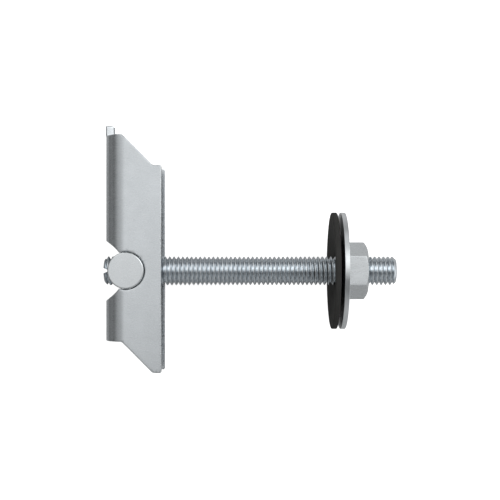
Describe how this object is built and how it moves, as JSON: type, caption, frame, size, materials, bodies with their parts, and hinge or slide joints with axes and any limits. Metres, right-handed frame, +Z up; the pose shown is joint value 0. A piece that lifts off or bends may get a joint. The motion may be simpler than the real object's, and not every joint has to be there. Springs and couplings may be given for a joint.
{
  "type": "toggle bolt",
  "caption": "Toggle bolt for hollow ceilings: a folded steel bar swings on a cross pin at the end of a threaded rod, with a nut, a steel washer and a seal washer.",
  "frame": {"origin": "middle of the footprint of the loose bolt as it lies, on the surface under it", "axes": "+X from the folding bar towards the rod's free end, along the floor; +Y along the bar towards its long arm; +Z up. The rod climbs at 9.3 degrees from the cross pin towards the washers, because the bolt rests on the pin's lower edge and the washers' rims"},
  "size_m": [0.1, 0.084, 0.0401],
  "materials": {
    "plated_sheet": "zinc plated sheet, satin, with faint rolling lines",
    "plated_pin": "zinc plated, turned, satin",
    "plated_thread": "zinc plated, rolled thread, bright on the crests",
    "seal": "matt black",
    "plated_washer": "zinc plated, punched, satin",
    "plated_nut": "zinc plated, pressed, satin"
  },
  "bodies": {
    "rod_unit": {"threaded_rod": "plated_thread", "cross_pin": "plated_pin"},
    "toggle": {"toggle_bar": "plated_sheet"},
    "washers": {"seal_washer": "seal", "steel_washer": "plated_washer"},
    "nut": {"hex_nut": "plated_nut"}
  },
  "joints": [
    {"name": "bar_tilt", "type": "hinge", "parent": "rod_unit", "child": "toggle", "pos_m": [-0.04143, -0.00755, 0.00845], "axis": [-0.161, 0, 0.987], "range_deg": [-90, 90]},
    {"name": "nut_travel", "type": "slide", "parent": "rod_unit", "child": "washers", "axis": [0.987, 0, 0.161], "range_m": [-0.0195, 0.00975]},
    {"name": "nut_spin", "type": "hinge", "parent": "washers", "child": "nut", "pos_m": [0.03575, -0.00755, 0.02104], "axis": [0.987, 0, 0.161], "range_deg": [-4680.5, 2340.5]}
  ],
  "couplings": [
    {"joint": "nut_spin", "follows": "nut_travel", "rad_per_m": 4188.8}
  ]
}
